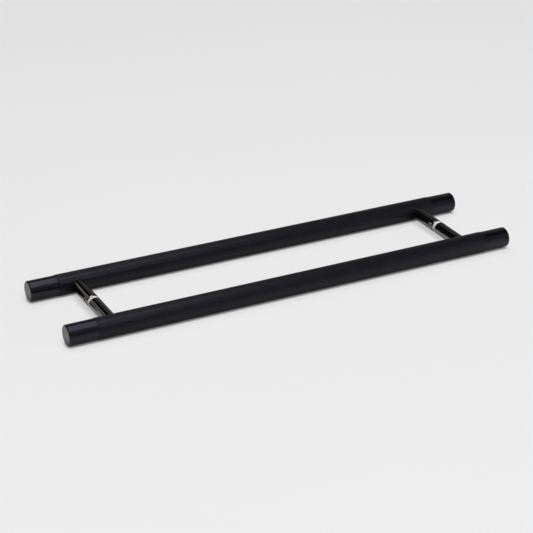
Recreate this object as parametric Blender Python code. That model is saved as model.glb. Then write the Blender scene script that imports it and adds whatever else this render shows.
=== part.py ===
"""Back-to-back door pull: two knurled bar handles joined post to post, lying on both bars.

Units are metres and +Z is up. The bars lie along X. The front handle is on the -Y side, the door
plane is at Y = 0 between the washers, and Z = 0 is the surface that both bars rest on.
"""
import math

import bmesh
import bpy
from mathutils import Vector

# Grip: the knurled tube. Its diameter is measured over the crests of the knurl.
GRIP_DIAMETER = 0.0218
GRIP_WALL = 0.0028
GRIP_PAST_POST = 0.0197
GRIP_EDGE_CHAMFER = 0.0004

# Cap: the smooth turned end, with a spigot that runs into the tube and past the post.
CAP_DIAMETER = 0.0210
CAP_LENGTH = 0.0300
CAP_CHAMFER = 0.0009
SPIGOT_PAST_POST = 0.0080
SPIGOT_CHAMFER = 0.0008
SHOULDER_GROOVE_WIDTH = 0.0016
SHOULDER_GROOVE_DEPTH = 0.0006

# Posts, placed by the distance between their axes and by how far the bar stands off the door.
POST_SPACING = 0.4000
POST_DIAMETER = 0.0136
BAR_STAND_OFF = 0.0523
POST_CHAMFER = 0.0005

# Washers between each post and the door's face.
WASHER_DIAMETER = 0.0128
WASHER_THICKNESS = 0.0019
WASHER_CHAMFER = 0.0003

# Door stud: the threaded rod that joins a front post to a rear post through the door.
DOOR_STUD_DIAMETER = 0.0060
DOOR_STUD_IN_FRONT_POST = 0.0120
DOOR_STUD_IN_REAR_POST = 0.0140

# Post stud: the short rod that holds a post to its bar.
POST_STUD_DIAMETER = 0.0050
POST_STUD_IN_POST = 0.0080
POST_STUD_IN_SPIGOT = 0.0080
STUD_CHAMFER = 0.0006

# Grub screw in the side of each rear post, which grips the door stud.
GRUB_DIAMETER = 0.0040
GRUB_FROM_POST_END = 0.0050
GRUB_ANGLE_ABOVE_LEVEL = math.radians(15.0)
GRUB_RECESS = 0.0004
GRUB_CHAMFER = 0.0004
GRUB_POINT_RADIUS = 0.0010
GRUB_POINT_LENGTH = 0.0010
GRUB_SOCKET_ACROSS_FLATS = 0.0020
GRUB_SOCKET_DEPTH = 0.0014
GRUB_SOCKET_POINT = 0.0004
HEX_SIDES = 6
GRUB_COUNTERSINK = 0.0003

# Fits. A seat gap lies between faces that touch, the others lie all round a rod in its hole.
SEAT_GAP = 0.0003
THREAD_GAP = 0.0003
STUD_CLEARANCE = 0.0005
HOLE_PAST_STUD = 0.0010
DRILL_POINT = math.radians(118.0)

# Facets round each kind of piece. Multiples of four put a vertex at the bottom of each bar.
BAR_FACETS = 56
POST_FACETS = 40
ROD_FACETS = 24
CUTTER_OVERRUN = 0.0020
MERGE_DISTANCE = 1e-7
SHARP_ANGLE = math.radians(30.0)

GRIP_RADIUS = GRIP_DIAMETER / 2
SPIGOT_RADIUS = GRIP_RADIUS - GRIP_WALL - SEAT_GAP
POST_RADIUS = POST_DIAMETER / 2
DOOR_STUD_RADIUS = DOOR_STUD_DIAMETER / 2
POST_STUD_RADIUS = POST_STUD_DIAMETER / 2
GRUB_RADIUS = GRUB_DIAMETER / 2
HALF_SPACING = POST_SPACING / 2
HALF_GRIP = HALF_SPACING + GRIP_PAST_POST
WASHER_INNER_FACE = SEAT_GAP / 2
POST_DOOR_END = WASHER_INNER_FACE + WASHER_THICKNESS + SEAT_GAP
SADDLE_RADIUS = GRIP_RADIUS + SEAT_GAP

TOWARDS_LEFT = Vector((-1.0, 0.0, 0.0))
TOWARDS_RIGHT = Vector((1.0, 0.0, 0.0))
TOWARDS_REAR = Vector((0.0, 1.0, 0.0))
TOWARDS_FRONT = Vector((0.0, -1.0, 0.0))


def clear_scene():
    """Remove every object, so that the script gives the same model each time it is run."""
    for item in list(bpy.data.objects):
        bpy.data.objects.remove(item, do_unlink=True)


def material(name, colour, roughness, metallic):
    """Make a plain surface material."""
    surface = bpy.data.materials.new(name)
    surface.use_nodes = True
    shader = surface.node_tree.nodes["Principled BSDF"]
    shader.inputs["Base Color"].default_value = (*colour, 1.0)
    shader.inputs["Roughness"].default_value = roughness
    shader.inputs["Metallic"].default_value = metallic
    surface.diffuse_color = (*colour, 1.0)
    return surface


def empty(name, location, turn=0.0):
    """Add a reference point that other objects are parented to."""
    point = bpy.data.objects.new(name, None)
    point.location = location
    point.rotation_euler = (0.0, 0.0, turn)
    bpy.context.collection.objects.link(point)
    return point


def turned_mesh(name, profile, facets, ring=False):
    """Spin a profile of (radius, height) points round the local Z axis.

    A solid piece starts and ends its profile on the axis. A ring's profile is a closed loop.
    """
    shape = bmesh.new()
    points = [shape.verts.new((radius, 0.0, height)) for radius, height in profile]
    following = points[1:] + points[:1] if ring else points[1:]
    edges = [shape.edges.new(pair) for pair in zip(points, following)]
    bmesh.ops.spin(
        shape,
        geom=points + edges,
        axis=(0.0, 0.0, 1.0),
        cent=(0.0, 0.0, 0.0),
        angle=math.tau,
        steps=facets,
        use_merge=True,
    )
    bmesh.ops.remove_doubles(shape, verts=shape.verts, dist=MERGE_DISTANCE)
    bmesh.ops.recalc_face_normals(shape, faces=shape.faces)
    mesh = bpy.data.meshes.new(name)
    shape.to_mesh(mesh)
    shape.free()
    mesh.shade_smooth()
    mesh.set_sharp_from_angle(angle=SHARP_ANGLE)
    return mesh


def place(name, mesh, parent, location, direction, surface=None):
    """Add an object whose local +Z axis points in the given direction of its parent's frame."""
    thing = bpy.data.objects.new(name, mesh)
    thing.parent = parent
    thing.location = location
    thing.rotation_euler = direction.to_track_quat("Z", "Y").to_euler()
    if surface is not None and not mesh.materials:
        mesh.materials.append(surface)
    bpy.context.collection.objects.link(thing)
    return thing


def cutter(name, mesh, parent, location, direction):
    """Add a body that is only used to cut others."""
    tool = place(name, mesh, parent, location, direction)
    tool.hide_render = True
    tool.display_type = "WIRE"
    return tool


def cut(thing, tool):
    """Take one body's volume away from another."""
    modifier = thing.modifiers.new(f"cut by {tool.name}", "BOOLEAN")
    modifier.operation = "DIFFERENCE"
    modifier.solver = "EXACT"
    modifier.object = tool


def drill_tip(radius):
    """Height of the cone that a drill leaves at the bottom of a blind hole."""
    return radius / math.tan(DRILL_POINT / 2)


def rod_mesh(name, radius, length, facets):
    """Plain round rod from height 0 to its length, with no chamfers."""
    return turned_mesh(name, [(0.0, length), (radius, length), (radius, 0.0), (0.0, 0.0)], facets)


def chamfered_rod_mesh(name, radius, length, chamfer, facets):
    """Round rod with both ends chamfered, as threaded rod is cut."""
    profile = [
        (0.0, length),
        (radius - chamfer, length),
        (radius, length - chamfer),
        (radius, chamfer),
        (radius - chamfer, 0.0),
        (0.0, 0.0),
    ]
    return turned_mesh(name, profile, facets)


def drill_mesh(name, radius, depth, overrun, facets):
    """Body of a blind hole: its mouth is at height 0, and it goes down to a drilled point."""
    profile = [
        (0.0, overrun),
        (radius, overrun),
        (radius, -depth),
        (0.0, -depth - drill_tip(radius)),
    ]
    return turned_mesh(name, profile, facets)


def grip_mesh():
    """Tube centred on its middle, with the edges of both ends broken."""
    outer = GRIP_RADIUS
    inner = GRIP_RADIUS - GRIP_WALL
    edge = GRIP_EDGE_CHAMFER
    profile = [
        (inner + edge, HALF_GRIP),
        (outer - edge, HALF_GRIP),
        (outer, HALF_GRIP - edge),
        (outer, edge - HALF_GRIP),
        (outer - edge, -HALF_GRIP),
        (inner + edge, -HALF_GRIP),
        (inner, edge - HALF_GRIP),
        (inner, HALF_GRIP - edge),
    ]
    return turned_mesh("grip", profile, BAR_FACETS, ring=True)


def cap_mesh():
    """Smooth end from its shoulder at height 0 outwards, and the spigot below the shoulder."""
    radius = CAP_DIAMETER / 2
    groove = SPIGOT_RADIUS - SHOULDER_GROOVE_DEPTH
    spigot_end = -(SEAT_GAP + GRIP_PAST_POST + SPIGOT_PAST_POST)
    profile = [
        (0.0, CAP_LENGTH),
        (radius - CAP_CHAMFER, CAP_LENGTH),
        (radius, CAP_LENGTH - CAP_CHAMFER),
        (radius, 0.0),
        (groove, 0.0),
        (groove, -SHOULDER_GROOVE_WIDTH),
        (SPIGOT_RADIUS, -SHOULDER_GROOVE_WIDTH - SHOULDER_GROOVE_DEPTH),
        (SPIGOT_RADIUS, spigot_end + SPIGOT_CHAMFER),
        (SPIGOT_RADIUS - SPIGOT_CHAMFER, spigot_end),
        (0.0, spigot_end),
    ]
    return turned_mesh("cap", profile, BAR_FACETS)


def post_mesh(name, bore_radius, bore_depth):
    """Post from its door end at height 0 to the bar's axis, drilled from both ends."""
    length = BAR_STAND_OFF - POST_DOOR_END
    stud_hole = POST_STUD_RADIUS + THREAD_GAP
    crown = length - SADDLE_RADIUS
    stud_hole_bottom = crown - POST_STUD_IN_POST - HOLE_PAST_STUD
    profile = [
        (0.0, stud_hole_bottom - drill_tip(stud_hole)),
        (stud_hole, stud_hole_bottom),
        (stud_hole, length),
        (POST_RADIUS, length),
        (POST_RADIUS, POST_CHAMFER),
        (POST_RADIUS - POST_CHAMFER, 0.0),
        (bore_radius + POST_CHAMFER, 0.0),
        (bore_radius, POST_CHAMFER),
        (bore_radius, bore_depth),
        (0.0, bore_depth + drill_tip(bore_radius)),
    ]
    return turned_mesh(name, profile, POST_FACETS)


def washer_mesh():
    """Flat ring with its outer edges broken, from height 0 to its thickness."""
    outer = WASHER_DIAMETER / 2
    inner = DOOR_STUD_RADIUS + STUD_CLEARANCE
    profile = [
        (inner, WASHER_THICKNESS),
        (outer - WASHER_CHAMFER, WASHER_THICKNESS),
        (outer, WASHER_THICKNESS - WASHER_CHAMFER),
        (outer, WASHER_CHAMFER),
        (outer - WASHER_CHAMFER, 0.0),
        (inner, 0.0),
    ]
    return turned_mesh("washer", profile, POST_FACETS, ring=True)


def grub_length():
    """Length of a grub screw, from its seat on the door stud to just below the post's surface."""
    return POST_RADIUS - GRUB_RECESS - DOOR_STUD_RADIUS - SEAT_GAP


def grub_mesh():
    """Headless screw with its point at height 0 and its socket end at the top."""
    length = grub_length()
    profile = [
        (0.0, length),
        (GRUB_RADIUS - GRUB_CHAMFER, length),
        (GRUB_RADIUS, length - GRUB_CHAMFER),
        (GRUB_RADIUS, GRUB_POINT_LENGTH),
        (GRUB_POINT_RADIUS, 0.0),
        (0.0, 0.0),
    ]
    return turned_mesh("grub_screw", profile, ROD_FACETS)


def socket_mesh():
    """Hexagonal key socket with its mouth at height 0."""
    corner = GRUB_SOCKET_ACROSS_FLATS / 2 / math.cos(math.pi / HEX_SIDES)
    profile = [
        (0.0, CUTTER_OVERRUN),
        (corner, CUTTER_OVERRUN),
        (corner, -GRUB_SOCKET_DEPTH),
        (0.0, -GRUB_SOCKET_DEPTH - GRUB_SOCKET_POINT),
    ]
    return turned_mesh("hex_socket", profile, HEX_SIDES)


def grub_hole_mesh():
    """Radial hole from the middle of a post outwards, countersunk where it meets the surface."""
    hole = GRUB_RADIUS + THREAD_GAP
    mouth = math.sqrt(POST_RADIUS**2 - hole**2)
    flare = POST_RADIUS - mouth + CUTTER_OVERRUN
    profile = [
        (0.0, mouth + flare),
        (hole + GRUB_COUNTERSINK + flare, mouth + flare),
        (hole, mouth - GRUB_COUNTERSINK),
        (hole, 0.0),
        (0.0, 0.0),
    ]
    return turned_mesh("grub_hole", profile, ROD_FACETS)


def handle_sides(front):
    """Names of the handle's sides with their place along its own X axis and outward direction.

    The rear handle is the front one turned half a turn, so its own +X points to the left.
    """
    first, second = ("left", "right") if front else ("right", "left")
    return [(first, -1.0, TOWARDS_LEFT), (second, 1.0, TOWARDS_RIGHT)]


def build_handle(name, front, surfaces, meshes):
    """Model one handle in its own frame: bar along X, door on the +Y side of it."""
    offset = -BAR_STAND_OFF if front else BAR_STAND_OFF
    turn = 0.0 if front else math.pi
    axis = empty(f"handle_{name}", (0.0, offset, GRIP_RADIUS), turn)

    grip = place(f"grip_{name}", meshes["grip"], axis, (0.0, 0.0, 0.0), TOWARDS_RIGHT, surfaces["grip"])
    saddle = cutter(
        f"saddle_{name}", meshes["saddle"], axis, (-HALF_GRIP, 0.0, 0.0), TOWARDS_RIGHT
    )
    post_shape = meshes["front_post"] if front else meshes["rear_post"]
    posts = {}
    for side, along, outward in handle_sides(front):
        label = f"{name}_{side}"
        post_x = along * HALF_SPACING
        shoulder = (along * (HALF_GRIP + SEAT_GAP), 0.0, 0.0)
        cap = place(f"cap_{label}", meshes["cap"], axis, shoulder, outward, surfaces["cap"])

        stud_start = SPIGOT_RADIUS - POST_STUD_IN_SPIGOT
        place(
            f"post_stud_{label}",
            meshes["post_stud"],
            axis,
            (post_x, stud_start, 0.0),
            TOWARDS_REAR,
            surfaces["steel"],
        )
        tapping = cutter(
            f"tapping_{label}", meshes["tapping"], axis, (post_x, SPIGOT_RADIUS, 0.0), TOWARDS_REAR
        )
        cut(cap, tapping)
        wall_hole = cutter(
            f"wall_hole_{label}", meshes["wall_hole"], axis, (post_x, 0.0, 0.0), TOWARDS_REAR
        )
        cut(grip, wall_hole)

        door_end = (post_x, BAR_STAND_OFF - POST_DOOR_END, 0.0)
        post = place(f"post_{label}", post_shape, axis, door_end, TOWARDS_FRONT, surfaces["post"])
        cut(post, saddle)
        posts[side] = post
    return posts


def build_grub_screw(side, post, surfaces, meshes):
    """Set one grub screw radially in a rear post, on its left and a little above level."""
    along = -1.0 if side == "left" else 1.0
    direction = Vector((-math.cos(GRUB_ANGLE_ABOVE_LEVEL), 0.0, math.sin(GRUB_ANGLE_ABOVE_LEVEL)))
    centre = Vector((along * HALF_SPACING, POST_DOOR_END + GRUB_FROM_POST_END, GRIP_RADIUS))
    hole = cutter(f"grub_hole_{side}", meshes["grub_hole"], None, centre, direction)
    cut(post, hole)
    point = centre + direction * (DOOR_STUD_RADIUS + SEAT_GAP)
    screw = place(f"grub_screw_{side}", meshes["grub"], None, point, direction, surfaces["nickel"])
    mouth = point + direction * grub_length()
    socket = cutter(f"grub_socket_{side}", meshes["socket"], None, mouth, direction)
    cut(screw, socket)


def build_door_fixing(side, surfaces, meshes):
    """Add the stud through the door and the two washers of one pair of posts."""
    x = -HALF_SPACING if side == "left" else HALF_SPACING
    front_end = -POST_DOOR_END - DOOR_STUD_IN_FRONT_POST
    place(
        f"door_stud_{side}",
        meshes["door_stud"],
        None,
        (x, front_end, GRIP_RADIUS),
        TOWARDS_REAR,
        surfaces["steel"],
    )
    for name, direction in (("front", TOWARDS_FRONT), ("rear", TOWARDS_REAR)):
        face = Vector((x, 0.0, GRIP_RADIUS)) + direction * WASHER_INNER_FACE
        place(f"washer_{name}_{side}", meshes["washer"], None, face, direction, surfaces["washer"])


def make_surfaces():
    """Materials of the pieces, as seen in daylight."""
    return {
        "grip": material("knurled_black", (0.006, 0.006, 0.007), 0.50, 0.0),
        "cap": material("satin_black", (0.004, 0.004, 0.005), 0.32, 0.0),
        "post": material("dark_chrome", (0.145, 0.141, 0.135), 0.09, 1.0),
        "washer": material("white_nylon", (0.850, 0.850, 0.835), 0.45, 0.0),
        "steel": material("zinc_steel", (0.560, 0.570, 0.580), 0.35, 1.0),
        "nickel": material("nickel_steel", (0.620, 0.590, 0.520), 0.28, 1.0),
    }


def make_meshes():
    """Shapes that the two handles share."""
    post_stud_length = (
        POST_STUD_IN_POST + SADDLE_RADIUS - SPIGOT_RADIUS + POST_STUD_IN_SPIGOT
    )
    door_stud_length = DOOR_STUD_IN_FRONT_POST + 2 * POST_DOOR_END + DOOR_STUD_IN_REAR_POST
    tapped = POST_STUD_RADIUS + THREAD_GAP
    return {
        "grip": grip_mesh(),
        "cap": cap_mesh(),
        "front_post": post_mesh(
            "front_post",
            DOOR_STUD_RADIUS + THREAD_GAP,
            DOOR_STUD_IN_FRONT_POST + HOLE_PAST_STUD,
        ),
        "rear_post": post_mesh(
            "rear_post",
            DOOR_STUD_RADIUS + STUD_CLEARANCE,
            DOOR_STUD_IN_REAR_POST + HOLE_PAST_STUD,
        ),
        "washer": washer_mesh(),
        "door_stud": chamfered_rod_mesh(
            "door_stud", DOOR_STUD_RADIUS, door_stud_length, STUD_CHAMFER, ROD_FACETS
        ),
        "post_stud": chamfered_rod_mesh(
            "post_stud", POST_STUD_RADIUS, post_stud_length, STUD_CHAMFER, ROD_FACETS
        ),
        "grub": grub_mesh(),
        "socket": socket_mesh(),
        "grub_hole": grub_hole_mesh(),
        "saddle": rod_mesh("saddle", SADDLE_RADIUS, 2 * HALF_GRIP, BAR_FACETS),
        "tapping": drill_mesh(
            "tapping", tapped, POST_STUD_IN_SPIGOT + HOLE_PAST_STUD, CUTTER_OVERRUN, ROD_FACETS
        ),
        "wall_hole": rod_mesh(
            "wall_hole", POST_STUD_RADIUS + STUD_CLEARANCE, SADDLE_RADIUS + CUTTER_OVERRUN, ROD_FACETS
        ),
    }


def main():
    """Build the whole pull."""
    clear_scene()
    surfaces = make_surfaces()
    meshes = make_meshes()
    build_handle("front", True, surfaces, meshes)
    rear_posts = build_handle("rear", False, surfaces, meshes)
    for side in ("left", "right"):
        build_door_fixing(side, surfaces, meshes)
        build_grub_screw(side, rear_posts[side], surfaces, meshes)


main()
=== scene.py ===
"""Dressed model of a back-to-back door pull with knurled grips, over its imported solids.

Lengths are metres. The bars lie along X, the door's middle plane is Y = 0, and both bars rest on
Z = 0. The front handle is on the -Y side.
"""
import logging
import math
from collections.abc import Callable, Sequence
from dataclasses import dataclass
from enum import Enum

import bmesh
import bpy
from mathutils import Matrix, Vector


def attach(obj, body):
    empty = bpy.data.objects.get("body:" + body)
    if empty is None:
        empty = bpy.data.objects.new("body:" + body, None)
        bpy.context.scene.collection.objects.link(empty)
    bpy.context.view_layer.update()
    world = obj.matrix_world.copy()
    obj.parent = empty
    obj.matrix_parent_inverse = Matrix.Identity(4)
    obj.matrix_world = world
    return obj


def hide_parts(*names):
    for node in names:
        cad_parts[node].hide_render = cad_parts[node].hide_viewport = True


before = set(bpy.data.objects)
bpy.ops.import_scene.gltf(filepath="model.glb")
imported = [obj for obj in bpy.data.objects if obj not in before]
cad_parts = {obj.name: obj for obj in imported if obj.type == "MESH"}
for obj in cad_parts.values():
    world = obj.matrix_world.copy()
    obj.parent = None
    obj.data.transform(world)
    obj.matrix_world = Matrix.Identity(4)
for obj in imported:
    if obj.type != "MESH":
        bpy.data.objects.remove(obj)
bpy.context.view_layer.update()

ROOT_BODY = "root"
MERGE_DISTANCE = 1e-6
SHARP_ANGLE = math.radians(35.0)
EDGE_SUPPORT = 0.00005
HEX_SIDES = 6
DOWN_TILT = 1e-4

Point = tuple[float, float]
Span = tuple[float, float]
Place = tuple[float, float, float]
Colour = tuple[float, float, float]
Value = float | int | bpy.types.NodeSocket

WHITE: Colour = (1.00, 1.00, 1.00)
WARM: Colour = (1.00, 0.93, 0.84)
# How pale the background looks, where 1 is white
BACKDROP = 0.84
# The values between which most of a noise pattern lies
NOISE_SPAN: Span = (0.3, 0.7)

log = logging.getLogger("door_pull")


class Handle(Enum):
    """The handle on each side of the door, with the sign of its Y."""

    FRONT = -1
    REAR = 1


class Side(Enum):
    """The end of the bars that a piece belongs to, with the sign of its X."""

    LEFT = -1
    RIGHT = 1


def corner_label(handle: Handle, side: Side) -> str:
    """Name of the corner of the pull that a piece belongs to."""
    return f"{handle.name}_{side.name}".lower()


@dataclass(frozen=True)
class PullSizes:
    """Sizes that several pieces share, the same as the solids have."""

    bar_radius: float = 0.0109
    knurl_depth: float = 0.00010
    half_grip: float = 0.2197
    grip_wall: float = 0.0028
    cap_radius: float = 0.0105
    half_spacing: float = 0.2000
    stand_off: float = 0.0523
    post_radius: float = 0.0068
    door_end: float = 0.00235
    door_stud_radius: float = 0.0030
    post_stud_radius: float = 0.0025
    seat_gap: float = 0.0003
    thread_gap: float = 0.0003
    stud_clearance: float = 0.0005
    hole_past_stud: float = 0.0010
    drill_point: float = math.radians(118.0)

    @property
    def saddle_radius(self) -> float:
        """Radius of the hollow that each post has for its bar."""
        return self.bar_radius + self.seat_gap

    @property
    def spigot_radius(self) -> float:
        """Radius of the part of a cap that runs inside the tube."""
        return self.bar_radius - self.grip_wall - self.seat_gap

    def bar_centre(self, handle: Handle) -> Vector:
        """Middle of a handle's bar."""
        return Vector((0.0, handle.value * self.stand_off, self.bar_radius))

    def post_axis(self, side: Side, y: float) -> Vector:
        """Point on the axis that the two posts of one side share."""
        return Vector((side.value * self.half_spacing, y, self.bar_radius))

    def drill_tip(self, radius: float) -> float:
        """Height of the cone that a drill leaves at the bottom of a hole."""
        return radius / math.tan(self.drill_point / 2)


# Nodes


class NodeBook:
    """Adds nodes to one tree and links them."""

    def __init__(self, tree: bpy.types.NodeTree) -> None:
        """Keep the tree that the nodes go into."""
        self.tree = tree

    def node(self, kind: str, **settings: object) -> bpy.types.Node:
        """Add a node.

        Args:
            kind: The node's type.
            settings: Properties of the node, by name.

        Returns:
            The new node.
        """
        made = self.tree.nodes.new(kind)
        for name, value in settings.items():
            setattr(made, name, value)
        return made

    def feed(self, socket: bpy.types.NodeSocket, value: Value | Sequence[float]) -> None:
        """Link a socket to another one, or give it a plain value.

        Args:
            socket: The input.
            value: An output to link, or what the input is set to.
        """
        if isinstance(value, bpy.types.NodeSocket):
            self.tree.links.new(value, socket)
        else:
            socket.default_value = value

    def fill(self, node: bpy.types.Node, **inputs: Value | Sequence[float]) -> bpy.types.Node:
        """Feed a node's inputs by name, with an underscore for each space.

        Args:
            node: The node.
            inputs: What goes into each input.

        Returns:
            The same node.
        """
        for name, value in inputs.items():
            label = name.replace("_", " ")
            found = [s for s in node.inputs if s.enabled and s.name == label]
            self.feed(found[0], value)
        return node

    def maths(self, operation: str, first: Value, second: Value = 0.0, third: Value = 0.0) -> Value:
        """Work out a sum of up to three terms.

        Args:
            operation: The operation of a Math node.
            first: The first term.
            second: The second term.
            third: The third term.

        Returns:
            The output that carries the result.
        """
        made = self.node("ShaderNodeMath", operation=operation)
        for socket, value in zip(made.inputs, (first, second, third)):
            self.feed(socket, value)
        return made.outputs[0]

    def split(self, vector: bpy.types.NodeSocket) -> tuple[Value, Value, Value]:
        """Take a vector apart.

        Args:
            vector: The output that carries it.

        Returns:
            Its three numbers.
        """
        made = self.node("ShaderNodeSeparateXYZ")
        self.feed(made.inputs[0], vector)
        return made.outputs[0], made.outputs[1], made.outputs[2]

    def join(self, x: Value, y: Value, z: Value) -> bpy.types.NodeSocket:
        """Put three numbers together to a vector.

        Args:
            x: The first number.
            y: The second number.
            z: The third number.

        Returns:
            The output that carries the vector.
        """
        made = self.node("ShaderNodeCombineXYZ")
        for socket, value in zip(made.inputs, (x, y, z)):
            self.feed(socket, value)
        return made.outputs[0]


class Shading(NodeBook):
    """One procedural material, with its patterns in Object coordinates."""

    def __init__(self, name: str) -> None:
        """Start a material with a Principled shader.

        Args:
            name: Name of the material.
        """
        self.material = bpy.data.materials.new(name)
        self.material.use_nodes = True
        super().__init__(self.material.node_tree)
        self.shader = self.tree.nodes["Principled BSDF"]

    def position(self) -> bpy.types.NodeSocket:
        """Point on the surface, in the pull's frame."""
        return self.node("ShaderNodeTexCoord").outputs["Object"]

    def noise(self, vector: bpy.types.NodeSocket, scale: float, detail: float = 2.0) -> Value:
        """Cloudy pattern.

        Args:
            vector: Where the pattern is read.
            scale: Cells in a metre.
            detail: Finer layers that are added.

        Returns:
            A value round 0.5.
        """
        made = self.node("ShaderNodeTexNoise")
        self.fill(made, Vector=vector, Scale=scale, Detail=detail)
        return made.outputs[0]

    def spread(self, value: Value, span: Span, result: Span = (0.0, 1.0), way: str = "LINEAR") -> Value:
        """Map a span of values on another one, and hold it at the ends.

        Args:
            value: The value.
            span: Start and end of the value's span.
            result: What they are mapped on.
            way: How the result runs between its ends.

        Returns:
            The mapped value.
        """
        made = self.node("ShaderNodeMapRange", interpolation_type=way)
        for socket, number in zip(made.inputs, (value, *span, *result)):
            self.feed(socket, number)
        return made.outputs[0]

    def blend(self, factor: Value, first: Colour | Value, second: Colour | Value) -> Value:
        """Mix two colours.

        Args:
            factor: Share of the second colour.
            first: The first colour.
            second: The second colour.

        Returns:
            The mixed colour.
        """
        made = self.node("ShaderNodeMix", data_type="RGBA")
        self.feed(made.inputs[0], factor)
        for socket, colour in ((made.inputs[6], first), (made.inputs[7], second)):
            self.feed(socket, (*colour, 1.0) if isinstance(colour, tuple) else colour)
        return made.outputs[2]

    def stretched(self, vector: bpy.types.NodeSocket, scales: Place) -> bpy.types.NodeSocket:
        """Scale a pattern differently along each axis.

        Args:
            vector: Where the pattern is read.
            scales: Cells of the pattern along X, Y and Z.

        Returns:
            The scaled place.
        """
        made = self.node("ShaderNodeMapping")
        self.fill(made, Vector=vector, Scale=scales)
        return made.outputs[0]

    def bar_radius(self, sizes: PullSizes, vector: bpy.types.NodeSocket) -> Value:
        """Distance of a point from the axis of the bar that it is on.

        Args:
            sizes: Sizes of the pull.
            vector: The point.

        Returns:
            The distance, which is the same for both bars.
        """
        _, y, z = self.split(vector)
        out = self.maths("SUBTRACT", self.maths("ABSOLUTE", y), sizes.stand_off)
        up = self.maths("SUBTRACT", z, sizes.bar_radius)
        square = self.maths("ADD", self.maths("MULTIPLY", out, out), self.maths("MULTIPLY", up, up))
        return self.maths("SQRT", square)

    def relief(self, height: Value, distance: float, strength: float = 1.0) -> None:
        """Give the surface a fine relief.

        Args:
            height: Pattern of the relief, from 0 to 1.
            distance: Depth of the relief in metres.
            strength: Share of it that shows.
        """
        made = self.node("ShaderNodeBump")
        self.fill(made, Strength=strength, Distance=distance, Height=height)
        self.feed(self.shader.inputs["Normal"], made.outputs[0])

    def finish(self, colour: Value, roughness: Value, **others: Value) -> bpy.types.Material:
        """Feed the shader.

        Args:
            colour: Base colour.
            roughness: Roughness.
            others: Further inputs of the shader, with an underscore for each space.

        Returns:
            The material.
        """
        self.feed(self.shader.inputs["Base Color"], colour)
        self.feed(self.shader.inputs["Roughness"], roughness)
        self.fill(self.shader, **others)
        return self.material


@dataclass(frozen=True)
class Finish:
    """A surface finish, known by the record's material slot."""

    slot: str = ""

    def material(self, sizes: PullSizes) -> bpy.types.Material:
        """Find the finish's material, or make it when it is first asked for."""
        name = type(self).__name__
        return bpy.data.materials.get(name) or self.make(name, sizes)

    def make(self, name: str, sizes: PullSizes) -> bpy.types.Material:
        """Make the material, which each finish does in its own way."""
        raise NotImplementedError


@dataclass(frozen=True)
class KnurledBlack(Finish):
    """Matt black coat on the knurl, rubbed a little paler on its crests."""

    slot: str = "knurled_black"
    dark: Colour = (0.0048, 0.0045, 0.0070)
    pale: Colour = (0.0068, 0.0064, 0.0096)
    rubbed: Colour = (0.0170, 0.0170, 0.0190)
    sheen_tint: Colour = (0.86, 0.83, 1.00)
    specular: float = 0.32
    ior: float = 1.4
    patch_scale: float = 45.0
    patch_detail: float = 4.0
    patch_span: Span = (0.35, 0.65)
    grain_scale: float = 9000.0
    grain_depth: float = 0.00001
    grain_strength: float = 0.5
    wear_falloff: float = 4.0
    wear_span: Span = (0.42, 0.62)
    wear_share: Span = (0.12, 0.55)
    wear_polish: float = 0.06
    roughness: Span = (0.24, 0.32)

    def make(self, name: str, sizes: PullSizes) -> bpy.types.Material:
        """Make the material: tone by patches, rubbed crests and a fine powder grain.

        Args:
            name: Name of the material.
            sizes: Sizes of the pull.

        Returns:
            The material.
        """
        shading = Shading(name)
        place = shading.position()
        radius = shading.bar_radius(sizes, place)
        crest = shading.spread(radius, (sizes.bar_radius - sizes.knurl_depth, sizes.bar_radius))
        patches = shading.noise(place, self.patch_scale, self.patch_detail)
        grain = shading.noise(place, self.grain_scale)
        coat = shading.blend(shading.spread(patches, self.patch_span), self.dark, self.pale)
        contact = shading.maths("POWER", crest, self.wear_falloff)
        wear = shading.maths("MULTIPLY", contact, shading.spread(patches, self.wear_span, self.wear_share))
        colour = shading.blend(wear, coat, self.rubbed)
        sheen = shading.spread(grain, NOISE_SPAN, self.roughness)
        roughness = shading.maths("SUBTRACT", sheen, shading.maths("MULTIPLY", wear, self.wear_polish))
        shading.relief(grain, self.grain_depth, self.grain_strength)
        return shading.finish(
            colour,
            roughness,
            IOR=self.ior,
            Specular_IOR_Level=self.specular,
            Specular_Tint=(*self.sheen_tint, 1.0),
        )


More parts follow.
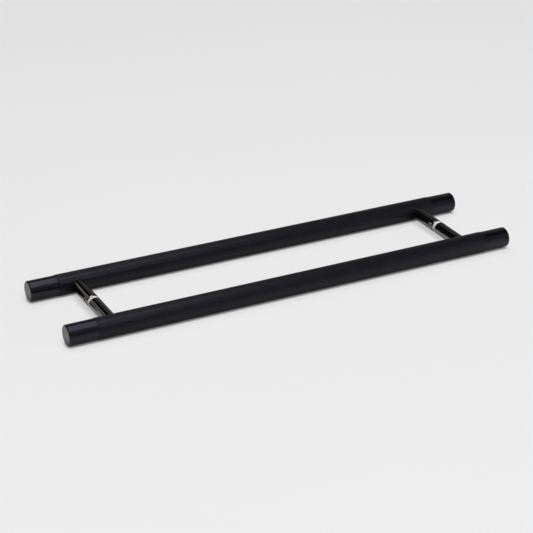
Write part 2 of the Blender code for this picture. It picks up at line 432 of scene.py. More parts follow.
@dataclass(frozen=True)
class SatinBlack(Finish):
    """Satin black coat over turned metal, with the tool's marks showing through."""

    slot: str = "satin_black"
    dark: Colour = (0.0014, 0.0012, 0.0030)
    pale: Colour = (0.0024, 0.0021, 0.0044)
    rubbed: Colour = (0.0120, 0.0120, 0.0135)
    # Paler colour of the end face: a painted reflection of the bright floor that it faces
    painted_face_reflection: Colour = (0.0300, 0.0300, 0.0310)
    sheen_tint: Colour = (0.86, 0.83, 1.00)
    ior: float = 1.4
    end_face: float = 0.2497
    face_blend: float = 0.0001
    rim_width: float = 0.0004
    rim_span: Span = (0.2489, 0.2493)
    feed: float = 0.00014
    line_detail: float = 1.0
    ring_share: float = 0.35
    mark_share: float = 0.5
    mark_depth: float = 0.000006
    mark_strength: float = 0.6
    grain_scale: float = 5200.0
    patch_scale: float = 60.0
    patch_detail: float = 4.0
    patch_span: Span = (0.35, 0.65)
    wear_span: Span = (0.45, 0.65)
    wear_share: Span = (0.0, 0.5)
    roughness: Span = (0.21, 0.30)

    def make(self, name: str, sizes: PullSizes) -> bpy.types.Material:
        """Make the material: rings on the end face, fine lines round the barrel, satin grain, painted
        reflection on the end face.

        Args:
            name: Name of the material.
            sizes: Sizes of the pull.

        Returns:
            The material.
        """
        shading = Shading(name)
        place = shading.position()
        x, _, _ = shading.split(place)
        along = shading.maths("ABSOLUTE", x)
        radius = shading.bar_radius(sizes, place)
        on_face = shading.spread(along, (self.end_face - self.face_blend, self.end_face))
        rings = shading.maths("SINE", shading.maths("MULTIPLY", radius, math.tau / self.feed))
        lines = shading.noise(shading.join(along, 0.0, 0.0), 1.0 / self.feed, self.line_detail)
        face_marks = shading.maths("MULTIPLY", shading.maths("MULTIPLY_ADD", rings, 0.5, 0.5), on_face)
        round_marks = shading.maths("MULTIPLY", lines, shading.maths("SUBTRACT", 1.0, on_face))
        grain = shading.noise(place, self.grain_scale)
        marks = shading.maths("ADD", shading.maths("MULTIPLY", face_marks, self.ring_share), round_marks)
        patches = shading.noise(place, self.patch_scale, self.patch_detail)
        rim = shading.spread(radius, (sizes.cap_radius - self.rim_width, sizes.cap_radius))
        edge = shading.maths("MULTIPLY", rim, shading.spread(along, self.rim_span))
        wear = shading.maths("MULTIPLY", edge, shading.spread(patches, self.wear_span, self.wear_share))
        coat = shading.blend(shading.spread(patches, self.patch_span), self.dark, self.pale)
        # The end face gets the paler colour, a painted reflection; the rubbed rim is wear
        colour = shading.blend(wear, shading.blend(on_face, coat, self.painted_face_reflection), self.rubbed)
        height = shading.maths("MULTIPLY_ADD", marks, self.mark_share, grain)
        shading.relief(height, self.mark_depth, self.mark_strength)
        roughness = shading.spread(grain, NOISE_SPAN, self.roughness)
        return shading.finish(colour, roughness, IOR=self.ior, Specular_Tint=(*self.sheen_tint, 1.0))


@dataclass(frozen=True)
class DarkChrome(Finish):
    """Polished dark chrome with faint polishing lines and handling marks."""

    slot: str = "dark_chrome"
    deep: Colour = (0.128, 0.127, 0.126)
    light: Colour = (0.158, 0.156, 0.154)
    smudge_scale: float = 130.0
    smudge_detail: float = 4.0
    smudge_span: Span = (0.35, 0.65)
    hairline_stretch: Place = (1.0, 0.04, 1.0)
    hairline_scale: float = 6000.0
    hairline_detail: float = 1.0
    hairline_depth: float = 0.0000015
    hairline_strength: float = 0.4
    hairline_dulling: float = 0.03
    gloss_span: Span = (0.40, 0.70)
    roughness: Span = (0.060, 0.110)

    def make(self, name: str, sizes: PullSizes) -> bpy.types.Material:
        """Make the material: tone and gloss by patches, hairlines along the post.

        Args:
            name: Name of the material.
            sizes: Sizes of the pull, not used by this finish.

        Returns:
            The material.
        """
        shading = Shading(name)
        place = shading.position()
        smudges = shading.noise(place, self.smudge_scale, self.smudge_detail)
        drawn_out = shading.stretched(place, self.hairline_stretch)
        hairlines = shading.noise(drawn_out, self.hairline_scale, self.hairline_detail)
        colour = shading.blend(shading.spread(smudges, self.smudge_span), self.deep, self.light)
        gloss = shading.spread(smudges, self.gloss_span, self.roughness)
        roughness = shading.maths("MULTIPLY_ADD", hairlines, self.hairline_dulling, gloss)
        shading.relief(hairlines, self.hairline_depth, self.hairline_strength)
        return shading.finish(colour, roughness, Metallic=1.0)


@dataclass(frozen=True)
class ZincSteel(Finish):
    """Zinc-plated screw thread, duller in patches."""

    slot: str = "zinc_steel"
    bright: Colour = (0.560, 0.570, 0.580)
    dull: Colour = (0.420, 0.425, 0.430)
    patch_scale: float = 900.0
    patch_detail: float = 3.0
    patch_span: Span = (0.4, 0.65)
    grain_scale: float = 15000.0
    grain_depth: float = 0.000004
    grain_strength: float = 0.5
    gloss_span: Span = (0.35, 0.65)
    roughness: Span = (0.28, 0.42)

    def make(self, name: str, sizes: PullSizes) -> bpy.types.Material:
        """Make the material: plating tone by patches, fine grain from rolling.

        Args:
            name: Name of the material.
            sizes: Sizes of the pull, not used by this finish.

        Returns:
            The material.
        """
        shading = Shading(name)
        place = shading.position()
        patches = shading.noise(place, self.patch_scale, self.patch_detail)
        grain = shading.noise(place, self.grain_scale)
        colour = shading.blend(shading.spread(patches, self.patch_span), self.bright, self.dull)
        shading.relief(grain, self.grain_depth, self.grain_strength)
        roughness = shading.spread(patches, self.gloss_span, self.roughness)
        return shading.finish(colour, roughness, Metallic=1.0)


@dataclass(frozen=True)
class NickelSteel(Finish):
    """Warm nickel-plated set screw with scuffs from the key."""

    slot: str = "nickel_steel"
    bright: Colour = (0.760, 0.710, 0.600)
    dull: Colour = (0.560, 0.520, 0.440)
    patch_scale: float = 1400.0
    patch_detail: float = 3.0
    patch_span: Span = (0.4, 0.65)
    scuff_stretch: Place = (1.0, 1.0, 0.15)
    scuff_scale: float = 14000.0
    scuff_depth: float = 0.000004
    scuff_strength: float = 0.5
    roughness: Span = (0.24, 0.36)

    def make(self, name: str, sizes: PullSizes) -> bpy.types.Material:
        """Make the material: plating tone by patches and fine scuffs.

        Args:
            name: Name of the material.
            sizes: Sizes of the pull, not used by this finish.

        Returns:
            The material.
        """
        shading = Shading(name)
        place = shading.position()
        patches = shading.noise(place, self.patch_scale, self.patch_detail)
        scuffs = shading.noise(shading.stretched(place, self.scuff_stretch), self.scuff_scale)
        colour = shading.blend(shading.spread(patches, self.patch_span), self.bright, self.dull)
        shading.relief(scuffs, self.scuff_depth, self.scuff_strength)
        roughness = shading.spread(scuffs, NOISE_SPAN, self.roughness)
        return shading.finish(colour, roughness, Metallic=1.0)


@dataclass(frozen=True)
class WhiteNylon(Finish):
    """Moulded white nylon with a soft grain."""

    slot: str = "white_nylon"
    clean: Colour = (0.880, 0.880, 0.868)
    shaded: Colour = (0.820, 0.818, 0.800)
    ior: float = 1.53
    cloud_scale: float = 500.0
    cloud_detail: float = 3.0
    cloud_span: Span = (0.45, 0.75)
    grain_scale: float = 9000.0
    grain_depth: float = 0.00001
    grain_strength: float = 0.5
    roughness: Span = (0.36, 0.48)

    def make(self, name: str, sizes: PullSizes) -> bpy.types.Material:
        """Make the material: cloudy tone from moulding and a fine grain.

        Args:
            name: Name of the material.
            sizes: Sizes of the pull, not used by this finish.

        Returns:
            The material.
        """
        shading = Shading(name)
        place = shading.position()
        cloud = shading.noise(place, self.cloud_scale, self.cloud_detail)
        grain = shading.noise(place, self.grain_scale)
        colour = shading.blend(shading.spread(cloud, self.cloud_span), self.clean, self.shaded)
        shading.relief(grain, self.grain_depth, self.grain_strength)
        return shading.finish(colour, shading.spread(grain, NOISE_SPAN, self.roughness), IOR=self.ior)


@dataclass(frozen=True)
class FloorBoard(Finish):
    """Smooth pale board that the pull lies on."""

    light: Colour = (0.360, 0.360, 0.362)
    shade: Colour = (0.345, 0.3455, 0.348)
    far_colour: Colour = (0.0, 0.0, 0.0)
    ior: float = 1.4
    specular: float = 0.0
    cloud_scale: float = 1.1
    cloud_span: Span = (0.4, 0.65)
    grain_scale: float = 900.0
    grain_depth: float = 0.00002
    grain_strength: float = 0.2
    roughness: Span = (0.62, 0.70)
    seen_glow: float = 0.521
    # Reach, steepness and samples of the painted contact shadow on the glow
    seen_shadow_reach: float = 0.0035
    mirrored_glow: float = 0.566
    mirrored_shadow_reach: float = 0.010
    mirrored_shadow_falloff: float = 3.0
    clearance_samples: int = 8
    fade_span: Span = (0.85, 1.7)

    def clearance(self, shading: Shading, reach: float, falloff: float = 1.0) -> Value:
        """Paint a contact shadow: find how freely a point of the floor lies.

        Args:
            shading: The floor's material.
            reach: Distance within which something counts as standing over the point.
            falloff: Power that makes the change from free to covered steeper.

        Returns:
            A value from 0, covered, to 1, free.
        """
        open_sky = shading.node("ShaderNodeAmbientOcclusion", samples=self.clearance_samples)
        shading.fill(open_sky, Distance=reach)
        return shading.maths("POWER", open_sky.outputs["AO"], falloff)

    def make(self, name: str, sizes: PullSizes) -> bpy.types.Material:
        """Make the material: slow change of tone, a paper grain, and a glow that lights nothing.

        The glow is the pale background that camera and reflections show. Where the pull stands
        close over the floor the glow is darkened: a painted contact shadow, over the real one that
        the lamps cast. Far from the pull the board turns into the even backdrop.

        Args:
            name: Name of the material.
            sizes: Sizes of the pull, not used by this finish.

        Returns:
            The material.
        """
        shading = Shading(name)
        place = shading.position()
        cloud = shading.noise(place, self.cloud_scale)
        grain = shading.noise(place, self.grain_scale)
        x, y, _ = shading.split(place)
        square = shading.maths("ADD", shading.maths("MULTIPLY", x, x), shading.maths("MULTIPLY", y, y))
        away = shading.spread(shading.maths("SQRT", square), self.fade_span, way="SMOOTHSTEP")
        board = shading.blend(shading.spread(cloud, self.cloud_span), self.light, self.shade)
        colour = shading.blend(away, board, self.far_colour)

        path = shading.node("ShaderNodeLightPath")
        bent = shading.maths("MAXIMUM", path.outputs["Is Glossy Ray"], path.outputs["Is Transmission Ray"])
        seen = shading.maths("MULTIPLY_ADD", away, BACKDROP - self.seen_glow, self.seen_glow)
        # Painted contact shadow: the glow that the camera sees is darkened where the pull stands close over
        # the floor
        seen = shading.maths("MULTIPLY", seen, self.clearance(shading, self.seen_shadow_reach))
        seen = shading.maths("MULTIPLY", seen, path.outputs["Is Camera Ray"])
        mirrored = shading.maths("MULTIPLY_ADD", away, BACKDROP - self.mirrored_glow, self.mirrored_glow)
        # Painted shadow in reflections: the mirrored glow is darkened more steeply under the bars
        mirrored_shade = self.clearance(shading, self.mirrored_shadow_reach, self.mirrored_shadow_falloff)
        mirrored = shading.maths("MULTIPLY", shading.maths("MULTIPLY", mirrored, mirrored_shade), bent)
        glow = shading.maths("ADD", seen, mirrored)
        shading.relief(grain, self.grain_depth, self.grain_strength)
        roughness = shading.spread(grain, NOISE_SPAN, self.roughness)
        return shading.finish(
            colour, roughness, IOR=self.ior, Specular_IOR_Level=self.specular, Emission_Strength=glow
        )


# Meshes


@dataclass(frozen=True)
class Corner:
    """One corner of a turned outline, and how far its edge is rounded."""

    radius: float
    height: float
    rounding: float = 0.0


def softened(corners: Sequence[Corner], closed: bool = False, steps: int = 5) -> list[Point]:
    """Round the corners of a turned outline.

    Args:
        corners: The outline, in order.
        closed: Whether the last corner joins the first.
        steps: Points on each rounding, after its first.

    Returns:
        Points of the outline as (radius, height).
    """
    points: list[Point] = []
    for index, corner in enumerate(corners):
        here = Vector((corner.radius, corner.height))
        if corner.rounding <= 0.0 or (not closed and index in (0, len(corners) - 1)):
            points.append((here.x, here.y))
            continue
        before, after = corners[index - 1], corners[(index + 1) % len(corners)]
        back = (Vector((before.radius, before.height)) - here).normalized()
        onward = (Vector((after.radius, after.height)) - here).normalized()
        half = back.angle(onward) / 2
        reach = corner.rounding / math.tan(half)
        centre = here + (back + onward).normalized() * (corner.rounding / math.sin(half))
        start = here + back * reach - centre
        turn = here + onward * reach - centre
        first, last = math.atan2(start.y, start.x), math.atan2(turn.y, turn.x)
        sweep = (last - first + math.pi) % math.tau - math.pi
        points.append(tuple(here + back * (reach + EDGE_SUPPORT)))
        for step in range(steps + 1):
            angle = first + sweep * step / steps
            points.append(tuple(centre + corner.rounding * Vector((math.cos(angle), math.sin(angle)))))
        points.append(tuple(here + onward * (reach + EDGE_SUPPORT)))
    return points


def turned(
    name: str,
    outline: Sequence[Point],
    segments: int,
    closed: bool = False,
    bend: Callable[[float, float, float], float] | None = None,
) -> bpy.types.Mesh:
    """Turn an outline round the Z axis.

    Args:
        name: Name of the mesh.
        outline: Points as (radius, height). A radius of 0 is a pole.
        segments: Facets round the axis.
        closed: Whether the last point joins the first, as on a ring.
        bend: Gives a point's real height from its radius, height and angle.

    Returns:
        A closed mesh with its faces outwards.
    """
    shape = bmesh.new()
    rings: list[list[bmesh.types.BMVert]] = []
    for radius, height in outline:
        angles = [math.tau * k / segments for k in range(segments)] if radius > 0.0 else [0.0]
        ring = []
        for angle in angles:
            level = bend(radius, height, angle) if bend else height
            ring.append(shape.verts.new((radius * math.cos(angle), radius * math.sin(angle), level)))
        rings.append(ring)
    following = rings[1:] + rings[:1] if closed else rings[1:]
    for lower, upper in zip(rings, following):
        for k in range(segments):
            after = (k + 1) % segments
            corners = [lower[k % len(lower)], lower[after % len(lower)]]
            corners += [upper[after % len(upper)], upper[k % len(upper)]]
            shape.faces.new(list(dict.fromkeys(corners)))
    bmesh.ops.recalc_face_normals(shape, faces=shape.faces)
    mesh = bpy.data.meshes.new(name)
    shape.to_mesh(mesh)
    shape.free()
    return smoothed(mesh)


def smoothed(mesh: bpy.types.Mesh) -> bpy.types.Mesh:
    """Shade a mesh smooth, apart from its sharp edges.

    Args:
        mesh: The mesh.

    Returns:
        The same mesh.
    """
    mesh.shade_smooth()
    mesh.set_sharp_from_angle(angle=SHARP_ANGLE)
    return mesh


def evaluated(name: str, carrier: bpy.types.Object) -> bpy.types.Mesh:
    """Turn what an object's modifiers make into a plain mesh, and remove the object.

    Args:
        name: Name of the mesh.
        carrier: The object, which is in the scene.

    Returns:
        The plain mesh.
    """
    depsgraph = bpy.context.evaluated_depsgraph_get()
    mesh = bpy.data.meshes.new_from_object(carrier.evaluated_get(depsgraph), depsgraph=depsgraph)
    mesh.name = name
    bpy.data.objects.remove(carrier, do_unlink=True)
    return mesh


def carved(mesh: bpy.types.Mesh, cutters: Sequence[bpy.types.Mesh]) -> bpy.types.Mesh:
    """Take the volume of cutters away from a body.

    Args:
        mesh: The body.
        cutters: Closed meshes in the same frame.

    Returns:
        The body that is left, as a new mesh.
    """
    body = bpy.data.objects.new("carving", mesh)
    bpy.context.scene.collection.objects.link(body)
    tools = []
    for cutter in cutters:
        tool = bpy.data.objects.new("carving_tool", cutter)
        bpy.context.scene.collection.objects.link(tool)
        modifier = body.modifiers.new("cut", "BOOLEAN")
        modifier.operation = "DIFFERENCE"
        modifier.solver = "EXACT"
        modifier.object = tool
        tools.append(tool)
    result = evaluated(mesh.name, body)
    for tool in tools:
        bpy.data.objects.remove(tool, do_unlink=True)
    return result


def pointing(location: Vector, direction: Vector) -> Matrix:
    """Place that turns +Z to a direction and moves the origin to a location."""
    return Matrix.Translation(location) @ direction.to_track_quat("Z", "Y").to_matrix().to_4x4()


def present(name: str, mesh: bpy.types.Mesh, node: str, finish: Finish, sizes: PullSizes) -> bpy.types.Object:
    """Put a finished piece in the scene in place of its solid.

    Args:
        name: Name of the piece.
        mesh: Its mesh, at its place in the pull's frame.
        node: The solid that it stands for.
        finish: Its surface finish.
        sizes: Sizes of the pull.

    Returns:
        The piece.
    """
    mesh.name = name
    mesh.materials.clear()
    mesh.materials.append(finish.material(sizes))
    piece = bpy.data.objects.new(name, mesh)
    bpy.context.scene.collection.objects.link(piece)
    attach(piece, ROOT_BODY)
    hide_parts(node)
    log.info("%s: %d faces, %s", name, len(mesh.polygons), finish.slot)
    return piece


# Geometry Nodes


class Pattern(NodeBook):
    """A Geometry Nodes tree with named inputs, which ends in Realize Instances and Set Material."""

    def __init__(self, name: str) -> None:
        """Start an empty tree with its input and output.

        Args:
            name: Name of the tree.
        """
        super().__init__(bpy.data.node_groups.new(name, "GeometryNodeTree"))
        self.entry = self.node("NodeGroupInput")
        self.names: dict[str, str] = {}
        self.tree.interface.new_socket("Geometry", in_out="OUTPUT", socket_type="NodeSocketGeometry")

    def size(self, name: str, kind: str = "NodeSocketFloat") -> bpy.types.NodeSocket:
        """Add an input.

        Args:
            name: Its name.
            kind: Its socket type.

        Returns:
            The output of the Group Input node that carries it.
        """
        made = self.tree.interface.new_socket(name, in_out="INPUT", socket_type=kind)
        self.names[name] = made.identifier
        return self.entry.outputs[name]

    def close(self, geometry: bpy.types.NodeSocket, material: bpy.types.NodeSocket) -> None:
        """End the tree.

        Args:
            geometry: What the tree has made.
            material: The material that it gets.
        """
        realize = self.node("GeometryNodeRealizeInstances")
        self.feed(realize.inputs[0], geometry)
        paint = self.node("GeometryNodeSetMaterial")
        self.fill(paint, Geometry=realize.outputs[0], Material=material)
        leave = self.node("NodeGroupOutput")
        self.feed(leave.inputs[0], paint.outputs[0])

    def make(self, name: str, **inputs: object) -> bpy.types.Mesh:
        """Run the tree.

        Args:
            name: Name of the mesh.
            inputs: Value of each input, with an underscore for each space.

        Returns:
            The result as a plain mesh.
        """
        carrier = bpy.data.objects.new(name, bpy.data.meshes.new(name))
        modifier = carrier.modifiers.new(self.tree.name, "NODES")
        modifier.node_group = self.tree
        for label, value in inputs.items():
            modifier[self.names[label.replace("_", " ")]] = value
        bpy.context.scene.collection.objects.link(carrier)
        return evaluated(name, carrier)


class KnurlPattern(Pattern):
    """Diamond knurl on a round bar: pyramids between two sets of crossed grooves.

    The lattice has a point at each crest and at each crossing of two grooves, in turn, and each
    cell of it is split along its groove.
    """

    def __init__(self) -> None:
        """Build the tree."""
        super().__init__("diamond_knurl")
        length = self.size("Length")
        radius = self.size("Radius")
        depth = self.size("Depth")
        uneven = self.size("Unevenness")
        rows = self.size("Rows", "NodeSocketInt")
        columns = self.size("Columns", "NodeSocketInt")
        seed = self.size("Seed", "NodeSocketInt")
        material = self.size("Material", "NodeSocketMaterial")

        grid = self.node("GeometryNodeMeshGrid")
        self.fill(grid, Size_X=length, Size_Y=1.0)
        self.fill(grid, Vertices_X=self.maths("ADD", rows, 1), Vertices_Y=self.maths("ADD", columns, 1))
        x, y, _ = self.split(self.node("GeometryNodeInputPosition").outputs[0])
        share = self.maths("ADD", self.maths("DIVIDE", x, length), 0.5)
        row = self.maths("ROUND", self.maths("MULTIPLY", share, rows))
        column = self.maths("ROUND", self.maths("MULTIPLY", self.maths("ADD", y, 0.5), columns))
        crest = self.maths("MODULO", self.maths("ADD", row, column), 2.0)

        chance = self.node("FunctionNodeRandomValue", data_type="FLOAT")
        wrapped = self.maths("MODULO", column, columns)
        self.fill(chance, Min=0.0, Max=1.0, ID=self.maths("MULTIPLY_ADD", row, columns, wrapped), Seed=seed)
        worn = [socket for socket in chance.outputs if socket.enabled][0]
        lowered = self.maths("MULTIPLY", self.maths("MULTIPLY", worn, uneven), crest)
        sunk = self.maths("MULTIPLY", depth, self.maths("SUBTRACT", 1.0, crest))
        reach = self.maths("SUBTRACT", self.maths("SUBTRACT", radius, sunk), lowered)

        angle = self.maths("MULTIPLY", self.maths("DIVIDE", column, columns), math.tau)
        out = self.maths("MULTIPLY", self.maths("MULTIPLY", self.maths("COSINE", angle), reach), -1.0)
        up = self.maths("MULTIPLY", self.maths("SINE", angle), reach)
        wrap = self.node("GeometryNodeSetPosition")
        self.fill(wrap, Geometry=grid.outputs[0], Position=self.join(x, out, up))
        seam = self.node("GeometryNodeMergeByDistance")
        self.fill(seam, Geometry=wrap.outputs[0], Distance=MERGE_DISTANCE)
        split = self.node("GeometryNodeTriangulate", quad_method="SHORTEST_DIAGONAL")
        self.feed(split.inputs[0], seam.outputs[0])
        self.close(split.outputs[0], material)


class ThreadPattern(Pattern):
    """Screw thread on a round rod, from height 0 to its length, chamfered at both ends.

    The rows of the grid follow the helix, so that crest and root are clean lines. Rows that run
    out over an end are held on its edge and merge there. A flank rises between a flat root and a
    flat crest.
    """

    spare_turns: float = 2.0
    flank_gain: float = 1.5
    flank_start: float = -0.2

    def __init__(self) -> None:
        """Build the tree."""
        super().__init__("screw_thread")
        length = self.size("Length")
        radius = self.size("Radius")
        pitch = self.size("Pitch")
        depth = self.size("Depth")
        start = self.size("Start Radius")
        end = self.size("End Radius")
        per_turn = self.size("Rows Per Turn", "NodeSocketInt")
        columns = self.size("Columns", "NodeSocketInt")
        material = self.size("Material", "NodeSocketMaterial")

        turns = self.maths("CEIL", self.maths("ADD", self.maths("DIVIDE", length, pitch), self.spare_turns))
        rows = self.maths("MULTIPLY", turns, per_turn)
        grid = self.node("GeometryNodeMeshGrid")
        self.fill(grid, Size_X=1.0, Size_Y=1.0)
        self.fill(grid, Vertices_X=self.maths("ADD", rows, 1), Vertices_Y=self.maths("ADD", columns, 1))
        x, y, _ = self.split(self.node("GeometryNodeInputPosition").outputs[0])
        row = self.maths("ROUND", self.maths("MULTIPLY", self.maths("ADD", x, 0.5), rows))
        column = self.maths("ROUND", self.maths("MULTIPLY", self.maths("ADD", y, 0.5), columns))
        turn = self.maths("DIVIDE", column, columns)
        climbed = self.maths("ADD", self.maths("DIVIDE", row, per_turn), turn)
        free = self.maths("MULTIPLY", self.maths("SUBTRACT", climbed, 1.0), pitch)
        height = self.maths("MAXIMUM", self.maths("MINIMUM", free, length), 0.0)

        phase = self.maths("DIVIDE", self.maths("MODULO", row, per_turn), per_turn)
        slope = self.maths("ABSOLUTE", self.maths("MULTIPLY_ADD", phase, 2.0, -1.0))
        flank = self.node("ShaderNodeClamp")
        self.feed(flank.inputs[0], self.maths("MULTIPLY_ADD", slope, self.flank_gain, self.flank_start))
        sunk = self.maths("MULTIPLY", self.maths("SUBTRACT", 1.0, flank.outputs[0]), depth)
        body = self.maths("SUBTRACT", radius, sunk)
        lower = self.maths("ADD", start, height)
        upper = self.maths("ADD", end, self.maths("SUBTRACT", length, height))
        reach = self.maths("MINIMUM", body, self.maths("MINIMUM", lower, upper))

        angle = self.maths("MULTIPLY", turn, math.tau)
        across = self.maths("MULTIPLY", self.maths("COSINE", angle), reach)
        out = self.maths("MULTIPLY", self.maths("SINE", angle), reach)
        wrap = self.node("GeometryNodeSetPosition")
        self.fill(wrap, Geometry=grid.outputs[0], Position=self.join(across, out, height))
        seam = self.node("GeometryNodeMergeByDistance")
        self.fill(seam, Geometry=wrap.outputs[0], Distance=MERGE_DISTANCE)
        self.close(seam.outputs[0], material)


@dataclass(frozen=True)
class Thread:
    """Metric thread: its pitch and depth, and the facets that model it."""

    pitch: float
    depth: float
    rows_per_turn: int = 8
    columns: int = 28

    def rod(
        self, pattern: ThreadPattern, name: str, radius: float, length: float, ends: Span
    ) -> bpy.types.Mesh:
        """Cut the thread on a rod.

        Args:
            pattern: The tree that makes threads.
            name: Name of the mesh.
            radius: Outer radius of the thread.
            length: Length of the rod.
            ends: Radius of the start's and the end's flat face.

        Returns:
            The threaded rod from height 0 up, with closed ends.
        """
        root = radius - self.depth
        mesh = pattern.make(
            name,
            Length=length,
            Radius=radius,
            Pitch=self.pitch,
            Depth=self.depth,
            Start_Radius=min(ends[0], root),
            End_Radius=min(ends[1], root),
            Rows_Per_Turn=self.rows_per_turn,
            Columns=self.columns,
        )
        shape = bmesh.new()
        shape.from_mesh(mesh)
        open_edges = [edge for edge in shape.edges if edge.is_boundary]
        bmesh.ops.holes_fill(shape, edges=open_edges, sides=0)
        bmesh.ops.recalc_face_normals(shape, faces=shape.faces)
        shape.to_mesh(mesh)
        shape.free()
        return smoothed(mesh)


# Sub-assemblies


@dataclass
class KnurledGrip:
    """The knurled tube that the hand holds."""

    sizes: PullSizes
    handle: Handle
    crest_below_size: float = 0.00002
    unevenness: float = 0.00002
    edge: float = 0.0002
    rows: int = 440
    columns: int = 118
    seed: int = 7
    hole_overshoot: float = 1.3
    hole_segments: int = 48

    def finish_end(self, shape: bmesh.types.BMesh, side: Side) -> list[bmesh.types.BMEdge]:
        """Close one end of the tube: its outer chamfer, its flat face and its inner chamfer.

        Args:
            shape: The knurled surface, open at both ends.
            side: The end.

        Returns:
            The edges round the mouth of the bore.
        """
        end = self.sizes.half_grip
        bore = self.sizes.bar_radius - self.sizes.grip_wall
        rim = self.sizes.bar_radius - self.edge - self.sizes.knurl_depth
        loop = [edge for edge in shape.edges if edge.is_boundary and edge.verts[0].co.x * side.value > 0.0]
        for radius, reach in ((rim, end), (bore + self.edge, end), (bore, end - self.edge)):
            made = bmesh.ops.extrude_edge_only(shape, edges=loop)["geom"]
            for vert in [item for item in made if isinstance(item, bmesh.types.BMVert)]:
                across = Vector((0.0, vert.co.y, vert.co.z)).normalized() * radius
                vert.co = (side.value * reach, across.y, across.z)
            loop = [item for item in made if isinstance(item, bmesh.types.BMEdge)]
            loop = [edge for edge in loop if edge.is_boundary]
        return loop

    def wall_holes(self) -> list[bpy.types.Mesh]:
        """Shape the two holes through which the posts' studs pass.

        Returns:
            The bodies of the holes, with the bar's axis at the origin.
        """
        radius = self.sizes.post_stud_radius + self.sizes.stud_clearance
        height = self.sizes.bar_radius * self.hole_overshoot
        outline = [(0.0, height), (radius, height), (radius, 0.0), (0.0, 0.0)]
        holes = []
        for side in Side:
            hole = turned("wall_hole", outline, self.hole_segments)
            towards_door = Vector((0.0, -self.handle.value, 0.0))
            hole.transform(pointing(Vector((side.value * self.sizes.half_spacing, 0.0, 0.0)), towards_door))
            holes.append(hole)
        return holes

    def mesh(self, pattern: KnurlPattern) -> bpy.types.Mesh:
        """Build the tube.

        Args:
            pattern: The tree that makes the knurl.

        Returns:
            The tube at its place, with its bore and wall holes.
        """
        mesh = pattern.make(
            "knurled_tube",
            Length=2 * (self.sizes.half_grip - self.edge),
            Radius=self.sizes.bar_radius - self.crest_below_size,
            Depth=self.sizes.knurl_depth,
            Unevenness=self.unevenness,
            Rows=self.rows,
            Columns=self.columns,
            Seed=self.seed + self.handle.value,
        )
        shape = bmesh.new()
        shape.from_mesh(mesh)
        mouths = [edge for side in Side for edge in self.finish_end(shape, side)]
        bmesh.ops.bridge_loops(shape, edges=mouths)
        bmesh.ops.recalc_face_normals(shape, faces=shape.faces)
        shape.to_mesh(mesh)
        shape.free()
        mesh = carved(mesh, self.wall_holes())
        mesh.shade_flat()
        mesh.transform(Matrix.Translation(self.sizes.bar_centre(self.handle)))
        return mesh

    def dress(self, pattern: KnurlPattern, finish: Finish) -> bpy.types.Object:
        """Show the tube in its finish."""
        word = self.handle.name.lower()
        return present(f"knurled_grip_{word}", self.mesh(pattern), f"grip_{word}", finish, self.sizes)


@dataclass
class EndCap:
    """A smooth turned end, with the spigot that runs into the tube and past the post."""

    sizes: PullSizes
    handle: Handle
    side: Side
    length: float = 0.0300
    chamfer: float = 0.0009
    edge_rounding: float = 0.00016
    inner_rounding: float = 0.0001
    seam: float = 0.0002
    spigot_reach: float = 0.0280
    spigot_chamfer: float = 0.0008
    groove_width: float = 0.0016
    groove_depth: float = 0.0006
    stud_in_spigot: float = 0.0080
    segments: int = 160
    hole_segments: int = 40

    def outline(self) -> list[Point]:
        """Draw the cap's outline.

        Returns:
            Points from the end face at its length, over the shoulder, to the spigot's end.
        """
        radius = self.sizes.cap_radius
        spigot = self.sizes.spigot_radius
        groove = spigot - self.groove_depth
        spigot_end = -self.spigot_reach
        corners = [
            Corner(0.0, self.length),
            Corner(radius - self.chamfer, self.length, self.edge_rounding),
            Corner(radius, self.length - self.chamfer, self.edge_rounding * 2),
            Corner(radius, -self.seam, self.edge_rounding / 2),
            Corner(groove, -self.seam, self.inner_rounding),
            Corner(groove, -self.groove_width, self.inner_rounding),
            Corner(spigot, -self.groove_width - self.groove_depth, self.inner_rounding),
            Corner(spigot, spigot_end + self.spigot_chamfer, self.inner_rounding),
            Corner(spigot - self.spigot_chamfer, spigot_end, self.inner_rounding),
            Corner(0.0, spigot_end),
        ]
        return softened(corners)

    def tapping(self) -> bpy.types.Mesh:
        """Shape the tapped hole in the spigot.

        Returns:
            The hole's body, at its place in the pull.
        """
        sizes = self.sizes
        radius = sizes.post_stud_radius + sizes.thread_gap
        bottom = sizes.spigot_radius - self.stud_in_spigot - sizes.hole_past_stud
        outline = [
            (0.0, sizes.bar_radius),
            (radius, sizes.bar_radius),
            (radius, bottom),
            (0.0, bottom - sizes.drill_tip(radius)),
        ]
        hole = turned("tapping", outline, self.hole_segments)
        centre = sizes.bar_centre(self.handle) + Vector((self.side.value * sizes.half_spacing, 0.0, 0.0))
        hole.transform(pointing(centre, Vector((0.0, -self.handle.value, 0.0))))
        return hole

    def mesh(self) -> bpy.types.Mesh:
        """Build the cap.

        Returns:
            The cap at its place.
        """
        mesh = turned("turned_cap", self.outline(), self.segments)
        shoulder = self.sizes.bar_centre(self.handle)
        shoulder.x = self.side.value * (self.sizes.half_grip + self.sizes.seat_gap)
        mesh.transform(pointing(shoulder, Vector((self.side.value, 0.0, 0.0))))
        return smoothed(carved(mesh, [self.tapping()]))

    def dress(self, finish: Finish) -> bpy.types.Object:
        """Show the cap in its finish."""
        label = corner_label(self.handle, self.side)
        return present(f"end_cap_{label}", self.mesh(), f"cap_{label}", finish, self.sizes)


